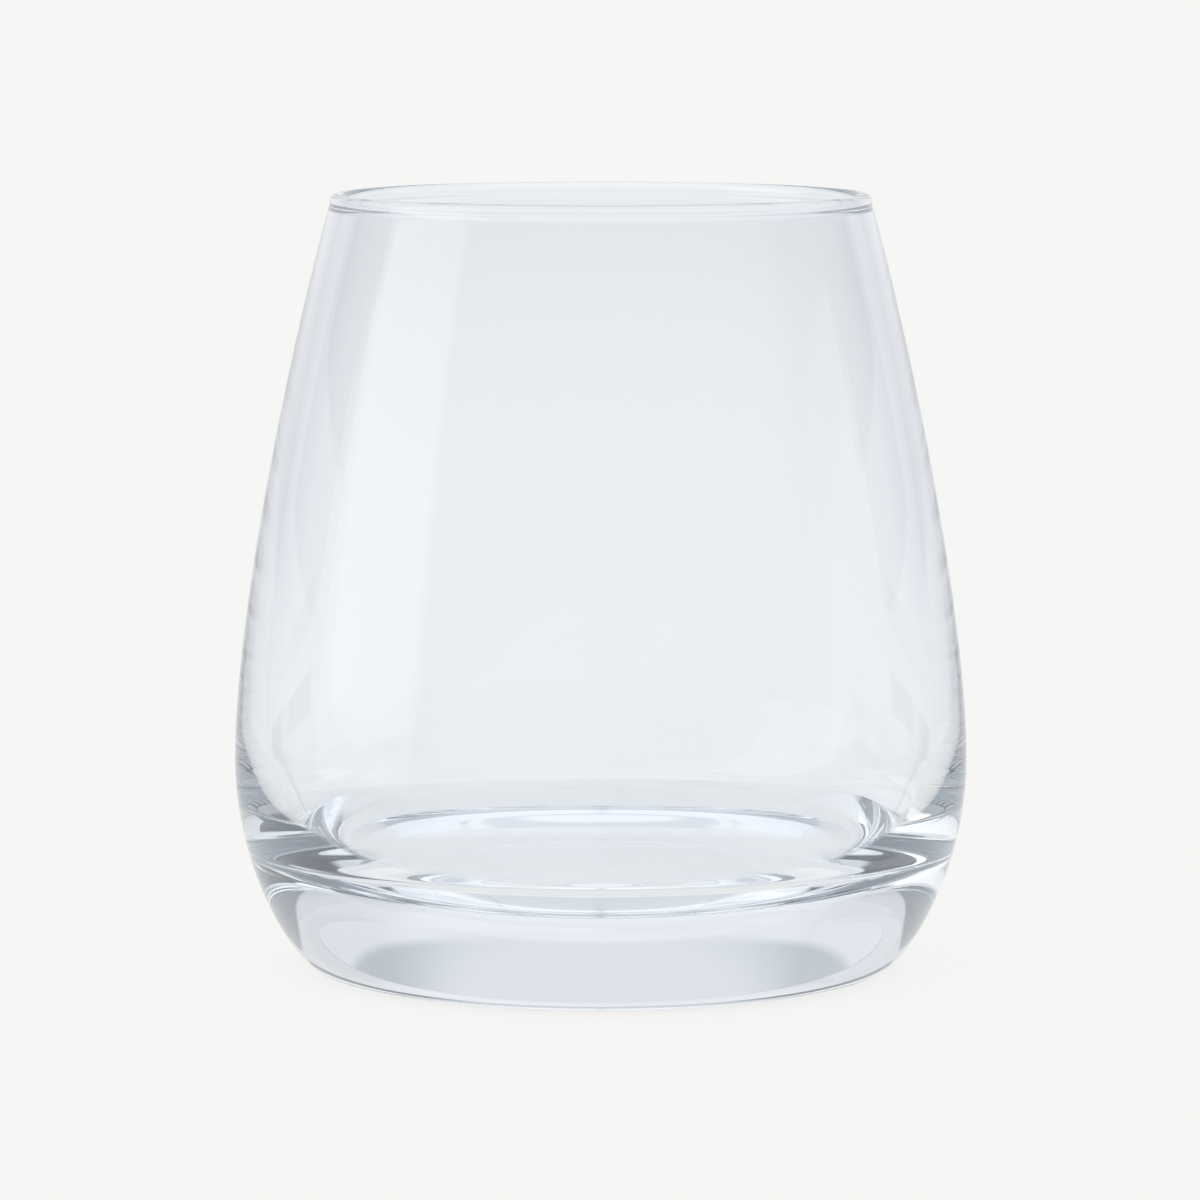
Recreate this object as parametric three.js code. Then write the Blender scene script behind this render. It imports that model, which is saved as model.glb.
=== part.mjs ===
// A double old fashioned glass: a stemless tumbler that leans inward from a low, full belly to a
// narrower, beaded lip, on a heavy solid base. It is one piece of clear glass, so the model is one
// turned solid. Units are millimetres, +Z is up, and z = 0 is the surface it stands on.
import * as THREE from 'three';

// Outside
const HEIGHT = 95;
const LIP_DIAMETER = 66.2;
const LIP_LEAN = 16;
const BELLY_DIAMETER = 90;
const BELLY_HEIGHT = 25.5;

// Underside: a shallow hollow inside the flat ring that the glass stands on, and a rounded heel
const FOOT_DIAMETER = 68.1;
const FOOT_RING_WIDTH = 5.6;
const HOLLOW_DEPTH = 2;
const HEEL_RADIUS = 3.8;
const HEEL_ANGLE = 25;

// Glass thickness, with the wall's taken at the belly and the floor's on the axis. The lip is a round bead
// that swells past the wall under it by LIP_BEAD on either side
const LIP_THICKNESS = 2;
const LIP_BEAD = 0.15;
const WALL_THICKNESS = 3.65;
const FLOOR_THICKNESS = 11.6;

// Inside: how far the dished floor rises to its edge, and the size of the corner between it and the wall
const FLOOR_DISH = 3.65;
const CORNER_WIDTH = 4.8;
const CORNER_HEIGHT = 13.75;

// How far each curve runs straight on before it bends, as a share of the height that it spans
const WALL_EASE = 0.255;
const HEEL_EASE = 0.1;
const BELLY_EASE = 0.55;
const CORNER_EASE = 0.71;
const FLOOR_EASE = 0.068;

// Facets: steps along the walls, along the shorter curves, round the lip and round the axis
const WALL_STEPS = 12;
const SHORT_STEPS = 6;
const LIP_STEPS = 8;
const ROUND_STEPS = 72;

const SAME_POINT = 1e-6;
const radians = THREE.MathUtils.degToRad;

// A point of the outline is (distance from the axis, height)
const point = (r, z) => new THREE.Vector2(r, z);
const UP = point(0, 1);
const DOWN = point(0, -1);

// A curve between two points that leaves and arrives along the two given directions
function sweep(from, leave, leaveEase, to, arrive, arriveEase, steps) {
  const span = Math.abs(to.y - from.y);
  const first = from.clone().addScaledVector(leave, span * leaveEase);
  const second = to.clone().addScaledVector(arrive, -span * arriveEase);
  return new THREE.CubicBezierCurve(from, first, second, to).getPoints(steps);
}

function arc(centre, radius, startAngle, endAngle, steps) {
  const curve = new THREE.EllipseCurve(centre.x, centre.y, radius, radius, startAngle, endAngle);
  return curve.getPoints(steps);
}

// A shallow dish, level on the axis, between the axis and a rim point
function dish(middleHeight, rim) {
  const middle = point(0, middleHeight);
  const bend = point(rim.x / 2, middleHeight);
  return { points: new THREE.QuadraticBezierCurve(middle, bend, rim).getPoints(SHORT_STEPS), bend };
}

// The outline runs from the axis under the glass, up the outside, over the lip and down the inside
function outline() {
  const footRadius = FOOT_DIAMETER / 2;
  const hollow = dish(HOLLOW_DEPTH, point(footRadius - FOOT_RING_WIDTH, 0));
  const heelAngle = radians(HEEL_ANGLE);
  const heelCentre = point(footRadius, HEEL_RADIUS);
  const heel = arc(heelCentre, HEEL_RADIUS, -Math.PI / 2, heelAngle - Math.PI / 2, SHORT_STEPS);

  const lean = radians(LIP_LEAN);
  const alongLip = point(-Math.sin(lean), Math.cos(lean));
  const lipRadius = LIP_THICKNESS / 2;
  const lipCentre = point(LIP_DIAMETER / 2 - lipRadius, HEIGHT - lipRadius);
  const underBead = Math.acos(1 - LIP_BEAD / lipRadius);
  const lip = arc(lipCentre, lipRadius, lean - underBead, lean + Math.PI + underBead, LIP_STEPS);

  const heelTop = heel.at(-1);
  const alongHeel = point(Math.cos(heelAngle), Math.sin(heelAngle));
  const belly = point(BELLY_DIAMETER / 2, BELLY_HEIGHT);
  const lower = sweep(heelTop, alongHeel, HEEL_EASE, belly, UP, BELLY_EASE, WALL_STEPS);
  const upper = sweep(belly, UP, WALL_EASE, lip[0], alongLip, WALL_EASE, WALL_STEPS);

  const floorEdgeHeight = FLOOR_THICKNESS + FLOOR_DISH;
  const turn = point(belly.x - WALL_THICKNESS, floorEdgeHeight + CORNER_HEIGHT);
  const floorEdge = point(turn.x - CORNER_WIDTH, floorEdgeHeight);
  const floor = dish(FLOOR_THICKNESS, floorEdge);
  const alongFloor = floor.bend.clone().sub(floorEdge).normalize();
  const downLip = alongLip.clone().negate();
  const inside = sweep(lip.at(-1), downLip, WALL_EASE, turn, DOWN, WALL_EASE, WALL_STEPS);
  const corner = sweep(turn, DOWN, CORNER_EASE, floorEdge, alongFloor, FLOOR_EASE, SHORT_STEPS);

  const runs = [hollow.points, heel, lower, upper, lip, inside, corner, floor.points.toReversed()];
  const points = runs.flat();
  return points.filter((p, i) => i === 0 || p.distanceTo(points[i - 1]) > SAME_POINT);
}

function glassTumbler() {
  const geometry = new THREE.LatheGeometry(outline(), ROUND_STEPS);
  geometry.rotateX(Math.PI / 2);
  const material = new THREE.MeshStandardMaterial({ color: 0xe6edf2, roughness: 0.05, metalness: 0 });
  const mesh = new THREE.Mesh(geometry, material);
  mesh.name = 'glass_tumbler';
  return mesh;
}

const glass = new THREE.Group();
glass.add(glassTumbler());

export default glass;
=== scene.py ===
"""A double old fashioned glass in a white studio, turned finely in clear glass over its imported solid."""
import math
from typing import NamedTuple

import bmesh
import bpy
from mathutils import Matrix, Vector
from mathutils.geometry import interpolate_bezier


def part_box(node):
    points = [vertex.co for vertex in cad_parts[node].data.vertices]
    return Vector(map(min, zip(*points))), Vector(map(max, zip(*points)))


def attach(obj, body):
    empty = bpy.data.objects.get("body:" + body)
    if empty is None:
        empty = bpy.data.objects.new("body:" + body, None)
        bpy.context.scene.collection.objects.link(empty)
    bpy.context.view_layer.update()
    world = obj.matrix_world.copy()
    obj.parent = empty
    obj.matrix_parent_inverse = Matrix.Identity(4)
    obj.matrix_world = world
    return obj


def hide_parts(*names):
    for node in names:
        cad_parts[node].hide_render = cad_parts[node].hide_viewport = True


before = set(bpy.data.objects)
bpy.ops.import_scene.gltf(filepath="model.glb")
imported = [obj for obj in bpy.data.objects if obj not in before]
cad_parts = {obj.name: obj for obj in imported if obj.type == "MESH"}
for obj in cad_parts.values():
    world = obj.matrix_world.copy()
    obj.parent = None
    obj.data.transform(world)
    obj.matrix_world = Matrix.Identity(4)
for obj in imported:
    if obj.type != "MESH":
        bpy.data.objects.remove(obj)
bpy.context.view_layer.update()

MM = 0.001
NODE = "glass_tumbler"

# Sizes of the glass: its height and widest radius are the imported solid's own
_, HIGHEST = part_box(NODE)
HEIGHT = HIGHEST.z
BELLY_RADIUS = HIGHEST.x
BELLY_HEIGHT = 25.5 * MM
LIP_RADIUS = 33.1 * MM
LIP_LEAN = math.radians(16)
LIP_THICKNESS = 2 * MM
LIP_BEAD = 0.15 * MM
WALL_THICKNESS = 3.65 * MM
FOOT_RADIUS = 34.05 * MM
FOOT_RING_WIDTH = 5.6 * MM
HOLLOW_DEPTH = 2 * MM
HEEL_RADIUS = 3.8 * MM
HEEL_ANGLE = math.radians(25)
FLOOR_THICKNESS = 11.6 * MM
FLOOR_DISH = 3.65 * MM
CORNER_WIDTH = 4.8 * MM
CORNER_HEIGHT = 13.75 * MM

# How far each curve runs straight on before it bends, as a share of the height that it spans
WALL_EASE = 0.255
HEEL_EASE = 0.1
BELLY_EASE = 0.55
CORNER_EASE = 0.71
FLOOR_EASE = 0.068

# Fineness of the mesh: points along the long and short curves, round the lip and round the axis
WALL_POINTS = 64
SHORT_POINTS = 24
LIP_POINTS = 16
ROUND_POINTS = 256
SAME_POINT = 0.0005 * MM

# The glass itself: how it bends light, its tint, its haze by the noise that spreads it, and its waviness
GLASS_IOR = 1.505
GLASS_COLOUR = (0.95, 0.972, 1)
TINT_COLOUR = (0.35, 0.75, 1)
TINT_DENSITY = 0.6
HAZE_SCALE = 60
HAZE_DETAIL = 3
HAZE_NOISE = (0.35, 0.75)
HAZE_ROUGHNESS = 0.012
WAVE_SCALE = 25
WAVE_DETAIL = 1
WAVE_STRENGTH = 0.2
WAVE_HEIGHT = 0.05 * MM

# Camera: where it stands, what it looks at and its lens on a square picture
CAMERA_PLACE = Vector((0, -0.7455, 0.1288))
CAMERA_TARGET = Vector((-0.0001, 0, 0.0450))
CAMERA_LENS = 183.15
CAMERA_SENSOR = 36

# Colours: backdrop and floor, and the studio's bright and dim fields
PALE = (0.9216, 0.9216, 0.9047)
BRIGHT = (0.921, 0.921, 0.935)
DIM = (0.74, 0.83, 0.935)

# Floor: its size, its shadow all over and close under the glass, and where its reflections end
STAGE_RADIUS = 40
STAGE_DROP = 0.05 * MM
SHADOW_DEPTH = 0.02
CONTACT_DEPTH = 0.12
CONTACT_RADIUS = 37 * MM
CONTACT_EDGE = 4 * MM
TABLE_RADIUS = 140 * MM
TABLE_EDGE = 30 * MM

# How light the glass shows the floor: a painted shadow by the foot, plain further out, painted shade far
# off and after a long way round, and the distances from the axis where that changes
FLOOR_PAINTED_SHADOW = 0.9
FLOOR_PLAIN = 1.012
FLOOR_PAINTED_FAR_SHADE = 0.925
FLOOR_PAINTED_LONG_WAY_SHADE = 0.25
BY_FOOT = (40 * MM, 65 * MM)
FAR_OFF = (0.2, 1.6)

# Card behind the foot, which paints a dark reflection along the foot: its place and size, how light its
# middle and sides are, and where that changes
CARD_DISTANCE = 100 * MM
CARD_SPREAD = math.radians(28)
CARD_HEIGHT = 8 * MM
CARD_STEPS = 24
CARD_MIDDLE = 0.75
CARD_SIDES = 0.25
CARD_FADE = (6 * MM, 14 * MM)

# Light on what is lit: the even share, and the sun's share with its width and tilt
WORLD_LIGHT = 0.88
SUN_SHARE = 0.12
SUN_ANGLE = math.radians(80)
SUN_TILT = math.radians(35)

# Bounces of light: the most, the reflections that make a long way round, and half a count to compare by
BOUNCES = 96
LONG_WAY = 8
HALF_COUNT = 0.5

HALF_TURN = 180
UP = Vector((0, 1))
DOWN = Vector((0, -1))


def sweep(start, leave, leave_ease, end, arrive, arrive_ease, points):
    """A curve between two outline points that leaves and arrives along the given directions."""
    span = abs(end.y - start.y)
    return interpolate_bezier(
        start, start + leave * span * leave_ease, end - arrive * span * arrive_ease, end, points
    )


def arc(centre, radius, first, last, points):
    """Points on a circle between two angles, both included."""
    turns = [first + (last - first) * i / (points - 1) for i in range(points)]
    return [centre + radius * Vector((math.cos(t), math.sin(t))) for t in turns]


def dish(middle_height, rim, points):
    """A shallow dish, level on the axis, from the axis to a rim point."""
    shares = [i / (points - 1) for i in range(points)]
    return [Vector((rim.x * s, middle_height + (rim.y - middle_height) * s * s)) for s in shares]


def outline():
    """Points (radius, height) under the foot, up the outside, over the lip and down the inside."""
    hollow = dish(HOLLOW_DEPTH, Vector((FOOT_RADIUS - FOOT_RING_WIDTH, 0)), SHORT_POINTS)
    heel_centre = Vector((FOOT_RADIUS, HEEL_RADIUS))
    heel = arc(heel_centre, HEEL_RADIUS, -math.pi / 2, HEEL_ANGLE - math.pi / 2, SHORT_POINTS)

    along_lip = Vector((-math.sin(LIP_LEAN), math.cos(LIP_LEAN)))
    lip_radius = LIP_THICKNESS / 2
    lip_centre = Vector((LIP_RADIUS - lip_radius, HEIGHT - lip_radius))
    under_bead = math.acos(1 - LIP_BEAD / lip_radius)
    lip = arc(lip_centre, lip_radius, LIP_LEAN - under_bead, LIP_LEAN + math.pi + under_bead, LIP_POINTS)

    along_heel = Vector((math.cos(HEEL_ANGLE), math.sin(HEEL_ANGLE)))
    belly = Vector((BELLY_RADIUS, BELLY_HEIGHT))
    lower = sweep(heel[-1], along_heel, HEEL_EASE, belly, UP, BELLY_EASE, WALL_POINTS)
    upper = sweep(belly, UP, WALL_EASE, lip[0], along_lip, WALL_EASE, WALL_POINTS)

    # The corner runs into the floor along the dish's slope, which at its edge is twice its mean slope
    edge_height = FLOOR_THICKNESS + FLOOR_DISH
    turn = Vector((BELLY_RADIUS - WALL_THICKNESS, edge_height + CORNER_HEIGHT))
    floor_edge = Vector((turn.x - CORNER_WIDTH, edge_height))
    along_floor = Vector((-floor_edge.x, -2 * FLOOR_DISH)).normalized()
    inside = sweep(lip[-1], -along_lip, WALL_EASE, turn, DOWN, WALL_EASE, WALL_POINTS)
    corner = sweep(turn, DOWN, CORNER_EASE, floor_edge, along_floor, FLOOR_EASE, SHORT_POINTS)
    floor = dish(FLOOR_THICKNESS, floor_edge, SHORT_POINTS)[::-1]

    points = []
    for run in (hollow, heel, lower, upper, lip, inside, corner, floor):
        points += [p for p in run if not points or (p - points[-1]).length > SAME_POINT]
    return points


def turned_mesh(name, points):
    """A closed smooth mesh turned from an outline that starts and ends on the axis."""
    verts = [(0, 0, points[0].y), (0, 0, points[-1].y)]
    on_axis = len(verts)
    rings = points[1:-1]
    for p in rings:
        for i in range(ROUND_POINTS):
            turn = math.tau * i / ROUND_POINTS
            verts.append((p.x * math.cos(turn), p.x * math.sin(turn), p.y))

    def at(ring, step):
        return on_axis + ring * ROUND_POINTS + step % ROUND_POINTS

    faces = []
    last = len(rings) - 1
    for i in range(ROUND_POINTS):
        faces.append((0, at(0, i + 1), at(0, i)))
        faces.append((1, at(last, i), at(last, i + 1)))
        for ring in range(last):
            faces.append((at(ring, i), at(ring, i + 1), at(ring + 1, i + 1), at(ring + 1, i)))
    mesh = bpy.data.meshes.new(name)
    mesh.from_pydata(verts, [], faces)
    mesh.shade_smooth()
    mesh.update()
    return mesh


def add_object(name, mesh, material):
    thing = bpy.data.objects.new(name, mesh)
    thing.data.materials.append(material)
    bpy.context.scene.collection.objects.link(thing)
    return thing


class Graph:
    """Short forms for building node trees."""

    def __init__(self, tree):
        self.tree = tree

    def add(self, kind):
        return self.tree.nodes.new(kind)

    def put(self, socket, value):
        if isinstance(value, bpy.types.NodeSocket):
            self.tree.links.new(value, socket)
        else:
            socket.default_value = value

    def math(self, operation, *values):
        node = self.add("ShaderNodeMath")
        node.operation = operation
        for socket, value in zip(node.inputs, values):
            self.put(socket, value)
        return node.outputs["Value"]

    def rise(self, value, start, end):
        """0 below start, 1 above end and a soft step between."""
        node = self.add("ShaderNodeMapRange")
        node.interpolation_type = "SMOOTHSTEP"
        self.put(node.inputs["Value"], value)
        node.inputs["From Min"].default_value = start
        node.inputs["From Max"].default_value = end
        return node.outputs["Result"]

    def blend(self, share, first, second):
        """first where share is 0, second where it is 1."""
        node = self.add("ShaderNodeMix")
        self.put(node.inputs["Factor"], share)
        self.put(node.inputs["A"], first)
        self.put(node.inputs["B"], second)
        return node.outputs["Result"]

    def tint(self, share, first, second):
        """The colour first where share is 0, and second where it is 1 or more."""
        node = self.add("ShaderNodeMixRGB")
        node.inputs["Color1"].default_value = (*first, 1)
        node.inputs["Color2"].default_value = (*second, 1)
        self.put(node.inputs["Fac"], share)
        return node.outputs["Color"]

    def shader_mix(self, share, first, second):
        """The shader first where share is 0, second where it is 1."""
        node = self.add("ShaderNodeMixShader")
        for socket, value in zip(node.inputs, (share, first, second)):
            self.put(socket, value)
        return node.outputs["Shader"]


def new_material(name):
    """An empty node material, its graph and its output."""
    material = bpy.data.materials.new(name)
    material.use_nodes = True
    material.node_tree.nodes.clear()
    graph = Graph(material.node_tree)
    return material, graph, graph.add("ShaderNodeOutputMaterial")


def clear_glass():
    """Fire-polished soda-lime glass: a cool tint, a trace of haze that varies and a slight waviness."""
    material, graph, output = new_material("clear_glass")
    shader = graph.add("ShaderNodeBsdfPrincipled")
    shader.inputs["Base Color"].default_value = (*GLASS_COLOUR, 1)
    shader.inputs["Transmission Weight"].default_value = 1
    shader.inputs["IOR"].default_value = GLASS_IOR
    place = graph.add("ShaderNodeTexCoord")

    haze = graph.add("ShaderNodeTexNoise")
    haze.inputs["Scale"].default_value = HAZE_SCALE
    haze.inputs["Detail"].default_value = HAZE_DETAIL
    graph.put(haze.inputs["Vector"], place.outputs["Object"])
    roughness = graph.add("ShaderNodeMapRange")
    roughness.inputs["From Min"].default_value = HAZE_NOISE[0]
    roughness.inputs["From Max"].default_value = HAZE_NOISE[1]
    roughness.inputs["To Min"].default_value = 0
    roughness.inputs["To Max"].default_value = HAZE_ROUGHNESS
    graph.put(roughness.inputs["Value"], haze.outputs["Fac"])
    graph.put(shader.inputs["Roughness"], roughness.outputs["Result"])

    waves = graph.add("ShaderNodeTexNoise")
    waves.inputs["Scale"].default_value = WAVE_SCALE
    waves.inputs["Detail"].default_value = WAVE_DETAIL
    graph.put(waves.inputs["Vector"], place.outputs["Object"])
    bump = graph.add("ShaderNodeBump")
    bump.inputs["Strength"].default_value = WAVE_STRENGTH
    bump.inputs["Distance"].default_value = WAVE_HEIGHT
    graph.put(bump.inputs["Height"], waves.outputs["Fac"])
    graph.put(shader.inputs["Normal"], bump.outputs["Normal"])

    tint = graph.add("ShaderNodeVolumeAbsorption")
    tint.inputs["Color"].default_value = (*TINT_COLOUR, 1)
    tint.inputs["Density"].default_value = TINT_DENSITY
    graph.put(output.inputs["Surface"], shader.outputs["BSDF"])
    graph.put(output.inputs["Volume"], tint.outputs["Volume"])
    return material


def shown_in_glass(graph, path):
    """1 for what the camera sees in or through the glass, 0 for the light that falls on matt surfaces."""
    in_glass = graph.math("MAXIMUM", path.outputs["Is Glossy Ray"], path.outputs["Is Transmission Ray"])
    direct = graph.math("LESS_THAN", path.outputs["Diffuse Depth"], HALF_COUNT)
    return graph.math("MULTIPLY", in_glass, direct)


def reflected(graph, path, times):
    """1 for light that has been reflected so many times or more."""
    return graph.math("GREATER_THAN", path.outputs["Glossy Depth"], times - HALF_COUNT)


def pale_floor():
    """Matt and pale with a faint shadow, which is deeper under the glass.

    The glass shows it plain, but with painted shade: a painted shadow by the foot, and dimmer far off and
    after a long way round.
    Its reflections show the floor only as far as a table top reaches.
    """
    material, graph, output = new_material("pale_floor")
    matt = graph.add("ShaderNodeBsdfDiffuse")
    plain = graph.add("ShaderNodeEmission")
    for shader in (matt, plain):
        shader.inputs["Color"].default_value = (*PALE, 1)
    path = graph.add("ShaderNodeLightPath")
    place = graph.add("ShaderNodeTexCoord")
    length = graph.add("ShaderNodeVectorMath")
    length.operation = "LENGTH"
    graph.put(length.inputs[0], place.outputs["Object"])
    distance = length.outputs["Value"]

    shown = shown_in_glass(graph, path)
    # Painted shade on the floor as the glass shows it: a painted shadow by the foot, dimmer far off and
    # after a long way round
    painted_far_shade = graph.blend(graph.rise(distance, *FAR_OFF), FLOOR_PLAIN, FLOOR_PAINTED_FAR_SHADE)
    painted_shade_by_distance = graph.blend(graph.rise(distance, *BY_FOOT), FLOOR_PAINTED_SHADOW, painted_far_shade)
    glass_level = graph.blend(reflected(graph, path, LONG_WAY), painted_shade_by_distance, FLOOR_PAINTED_LONG_WAY_SHADE)
    graph.put(plain.inputs["Strength"], graph.blend(shown, 1, glass_level))

    away = graph.rise(distance, CONTACT_RADIUS - CONTACT_EDGE, CONTACT_RADIUS + CONTACT_EDGE)
    plain_share = graph.blend(away, 1 - CONTACT_DEPTH, 1 - SHADOW_DEPTH)
    faint_shadow = graph.math("MULTIPLY", path.outputs["Is Camera Ray"], plain_share)
    plainness = graph.math("MAXIMUM", faint_shadow, shown)
    surface = graph.shader_mix(plainness, matt.outputs["BSDF"], plain.outputs["Emission"])

    beyond = graph.rise(distance, TABLE_RADIUS - TABLE_EDGE, TABLE_RADIUS + TABLE_EDGE)
    open_share = graph.math("MULTIPLY", beyond, graph.math("MINIMUM", path.outputs["Glossy Depth"], 1))
    open_room = graph.add("ShaderNodeBsdfTransparent")
    graph.put(output.inputs["Surface"], graph.shader_mix(open_share, surface, open_room.outputs["BSDF"]))
    return material


def stage():
    """A wide pale floor, a hair under the foot so that the two surfaces don't share a plane."""
    mesh = bpy.data.meshes.new("studio_floor")
    shape = bmesh.new()
    bmesh.ops.create_circle(shape, cap_ends=True, segments=ROUND_POINTS, radius=STAGE_RADIUS)
    shape.to_mesh(mesh)
    shape.free()
    floor = add_object("studio_floor", mesh, pale_floor())
    floor.location.z = -STAGE_DROP


def foot_line_painted_reflection():
    """A painted reflection: dim, darker to its sides, and shown only in the glass's single reflections."""
    material, graph, output = new_material("foot_card")
    place = graph.add("ShaderNodeTexCoord")
    split = graph.add("ShaderNodeSeparateXYZ")
    graph.put(split.inputs["Vector"], place.outputs["Object"])
    aside = graph.rise(graph.math("ABSOLUTE", split.outputs["X"]), *CARD_FADE)
    level = graph.blend(aside, CARD_MIDDLE, CARD_SIDES)
    # Painted reflection: a dim glow, darker to the sides, that the glass reflects as the dark line along
    # its foot
    dim = graph.add("ShaderNodeEmission")
    graph.put(dim.inputs["Color"], graph.tint(level, DIM, BRIGHT))
    graph.put(dim.inputs["Strength"], level)

    path = graph.add("ShaderNodeLightPath")
    reflected_once = graph.math("COMPARE", path.outputs["Glossy Depth"], 1, HALF_COUNT)
    seen = graph.math("MULTIPLY", shown_in_glass(graph, path), reflected_once)
    unseen = graph.add("ShaderNodeBsdfTransparent")
    surface = graph.shader_mix(seen, unseen.outputs["BSDF"], dim.outputs["Emission"])
    graph.put(output.inputs["Surface"], surface)
    return material


def foot_card():
    """A low curved card on the floor behind the glass, which paints the dark line along its foot as a
    painted reflection.
    """
    turns = [CARD_SPREAD * (2 * i / CARD_STEPS - 1) for i in range(CARD_STEPS + 1)]
    feet = [CARD_DISTANCE * Vector((math.sin(t), math.cos(t), 0)) for t in turns]
    verts = [foot + Vector((0, 0, z)) for foot in feet for z in (0, CARD_HEIGHT)]
    faces = [(2 * i, 2 * i + 2, 2 * i + 3, 2 * i + 1) for i in range(CARD_STEPS)]
    mesh = bpy.data.meshes.new("foot_card")
    mesh.from_pydata(verts, [], faces)
    add_object("foot_card", mesh, foot_line_painted_reflection())


class Panel(NamedTuple):
    """A field of the studio by its edges in degrees. Azimuth 0 is behind the glass, 90 to its right."""
    left: float
    right: float
    low: float
    high: float
    brightness: float
    soft: float = 0.05
    squareness: float = 12


ROUND = 2
# What the glass shows by refraction alone: a white backdrop, dimmer to both sides above the horizon. Over
# it lies a round dim field that is lighter in its middle, with a light strip under it
BACKDROP_BRIGHTNESS = 1
BACKDROP = [
    Panel(-80, -24, 8, 60, 0.87, soft=0.25),
    Panel(24, 80, 8, 60, 0.87, soft=0.25),
    Panel(-43.5, 43.5, 13, 55, 0.6, soft=0.04, squareness=ROUND),
    Panel(-26, 26, 4, 64, 0.875, soft=0.3, squareness=ROUND),
    Panel(-23, 23, 5, 13.2, 0.965, soft=0.12),
]
# What it shows after one reflection: a dim room, light in front, low down and behind, with a dark end low
# at either side, a white ceiling and a softbox on the left
ROOM_BRIGHTNESS = 0.5
ROOM = [
    Panel(105, 255, -90, 60, 0.85, soft=0.15),
    Panel(-105, 105, -90, 11, 0.95, soft=0.02),
    Panel(-57, 57, -5, 20, 0.82),
    Panel(-26, 26, -90, 60, 0.97, soft=0.4),
    Panel(-50, 50, 20, 60, 0.6),
    Panel(-75, -50.5, 3, 12, 0.4, soft=0.06),
    Panel(50.5, 75, 3, 12, 0.4, soft=0.06),
    Panel(-180, 180, 62, 118, 1.1, soft=0.15),
    Panel(-119, -80, -6.5, 55, 1.45),
]
# What it shows after more reflections in the thick base: a dark room, light low down and behind, with a
# wider ceiling that has a dimmer patch, the same softbox and two lights in front
DEPTHS_BRIGHTNESS = 0.2
DEPTHS = [
    Panel(-180, 180, -90, -2, 0.85, soft=0.02),
    Panel(-40, 40, -90, 13.5, 0.9),
    Panel(-50, 50, 13.5, 55, 0.8),
    Panel(-180, 180, 44, 136, 1.15, soft=0.04),
    Panel(-24, 24, 56, 76, 0.85, soft=0.25),
    Panel(-119, -80, -6.5, 55, 1.45),
    Panel(-140, -122, -5, 25, 0.9),
    Panel(122, 182, -50, 30, 1.3),
]
# What it shows of light that has gone a long way round inside the wall: a dim room under that ceiling
WALL_BRIGHTNESS = 0.5
WALL = [
    Panel(-180, 180, 44, 136, 1.15, soft=0.04),
]
# The rooms that follow the backdrop, by the reflections after which the glass shows them
ROOMS = [
    (1, ROOM_BRIGHTNESS, ROOM),
    (2, DEPTHS_BRIGHTNESS, DEPTHS),
    (LONG_WAY, WALL_BRIGHTNESS, WALL),
]


def brightness_of(graph, plain, panels):
    """Brightness in the direction that is looked in: plain, with the panels laid over it in turn."""
    place = graph.add("ShaderNodeTexCoord")
    split = graph.add("ShaderNodeSeparateXYZ")
    graph.put(split.inputs["Vector"], place.outputs["Generated"])
    x, y, z = (split.outputs[axis] for axis in "XYZ")
    elevation = graph.math("DEGREES", graph.math("ARCSINE", z))
    azimuth = graph.math("DEGREES", graph.math("ARCTAN2", x, y))

    def off_middle(angle, first, last, power):
        middle = (first + last) / 2
        turn = graph.math("WRAP", graph.math("SUBTRACT", angle, middle), HALF_TURN, -HALF_TURN)
        share = graph.math("DIVIDE", graph.math("ABSOLUTE", turn), (last - first) / 2)
        return graph.math("POWER", share, power)

    brightness = plain
    for panel in panels:
        power = panel.squareness
        across = off_middle(azimuth, panel.left, panel.right, power)
        along = off_middle(elevation, panel.low, panel.high, power)
        reach = graph.math("POWER", graph.math("ADD", across, along), 1 / power)
        outside = graph.rise(reach, 1 - panel.soft, 1 + panel.soft)
        brightness = graph.blend(outside, panel.brightness, brightness)
    return brightness


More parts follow.
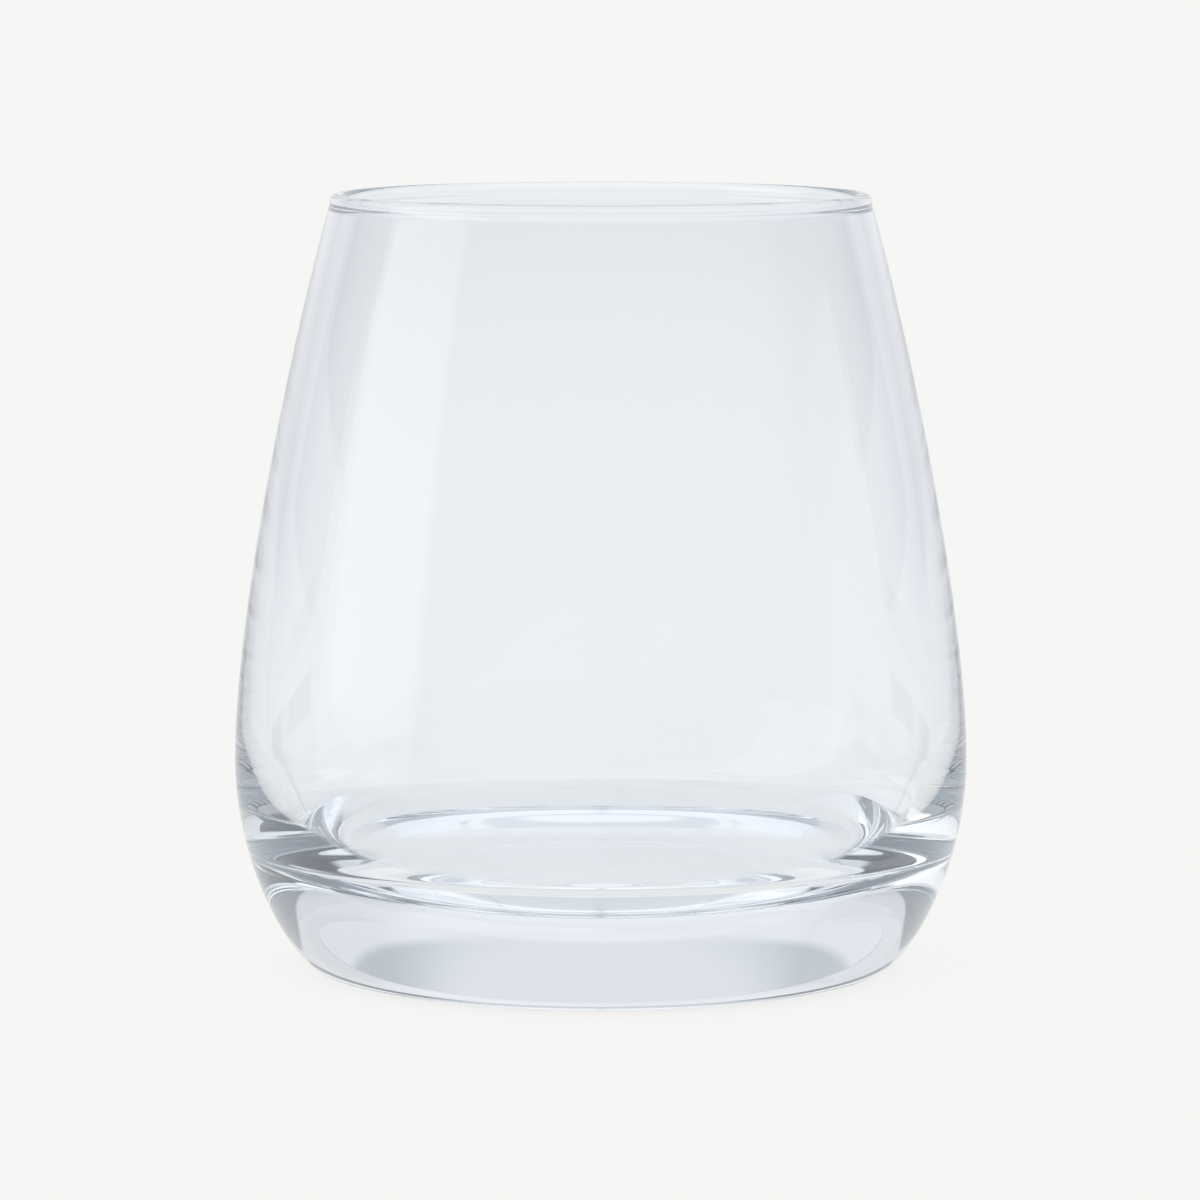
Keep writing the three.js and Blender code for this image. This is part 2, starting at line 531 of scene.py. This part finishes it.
def light_world():
    """Even light on what is lit, the plain backdrop for the camera, and the studio for the glass."""
    world = bpy.data.worlds.new("studio")
    bpy.context.scene.world = world
    world.use_nodes = True
    world.node_tree.nodes.clear()
    graph = Graph(world.node_tree)
    path = graph.add("ShaderNodeLightPath")

    light = graph.add("ShaderNodeBackground")
    light.inputs["Color"].default_value = (1, 1, 1, 1)
    light.inputs["Strength"].default_value = WORLD_LIGHT
    backdrop = graph.add("ShaderNodeBackground")
    backdrop.inputs["Color"].default_value = (*PALE, 1)

    level = brightness_of(graph, BACKDROP_BRIGHTNESS, BACKDROP)
    for times, plain, panels in ROOMS:
        level = graph.blend(reflected(graph, path, times), level, brightness_of(graph, plain, panels))
    studio = graph.add("ShaderNodeBackground")
    graph.put(studio.inputs["Strength"], level)
    graph.put(studio.inputs["Color"], graph.tint(level, DIM, BRIGHT))

    in_glass = shown_in_glass(graph, path)
    shown = graph.shader_mix(in_glass, light.outputs["Background"], studio.outputs["Background"])
    seen = graph.shader_mix(path.outputs["Is Camera Ray"], shown, backdrop.outputs["Background"])
    output = graph.add("ShaderNodeOutputWorld")
    graph.put(output.inputs["Surface"], seen)


def add_sun():
    """A broad soft key light from the upper left, for the small share of light that casts the shadow."""
    lamp = bpy.data.lights.new("key_light", "SUN")
    lamp.energy = SUN_SHARE * math.pi / math.cos(SUN_TILT)
    lamp.angle = SUN_ANGLE
    sun = bpy.data.objects.new("key_light", lamp)
    sun.rotation_euler = (0, -SUN_TILT, 0)
    sun.visible_glossy = False
    sun.visible_transmission = False
    bpy.context.scene.collection.objects.link(sun)


def add_camera():
    """The photograph's view."""
    data = bpy.data.cameras.new("camera")
    data.lens = CAMERA_LENS
    data.sensor_width = CAMERA_SENSOR
    camera = bpy.data.objects.new("camera", data)
    camera.location = CAMERA_PLACE
    camera.rotation_euler = (CAMERA_TARGET - CAMERA_PLACE).to_track_quat("-Z", "Y").to_euler()
    bpy.context.scene.collection.objects.link(camera)
    bpy.context.scene.camera = camera


glass = add_object("tumbler", turned_mesh("tumbler", outline()), clear_glass())
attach(glass, "root")
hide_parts(NODE)

stage()
foot_card()
light_world()
add_sun()
add_camera()

scene = bpy.context.scene
scene.view_settings.view_transform = "Standard"
scene.cycles.use_denoising = True
scene.cycles.max_bounces = BOUNCES
scene.cycles.transmission_bounces = BOUNCES
scene.cycles.glossy_bounces = BOUNCES
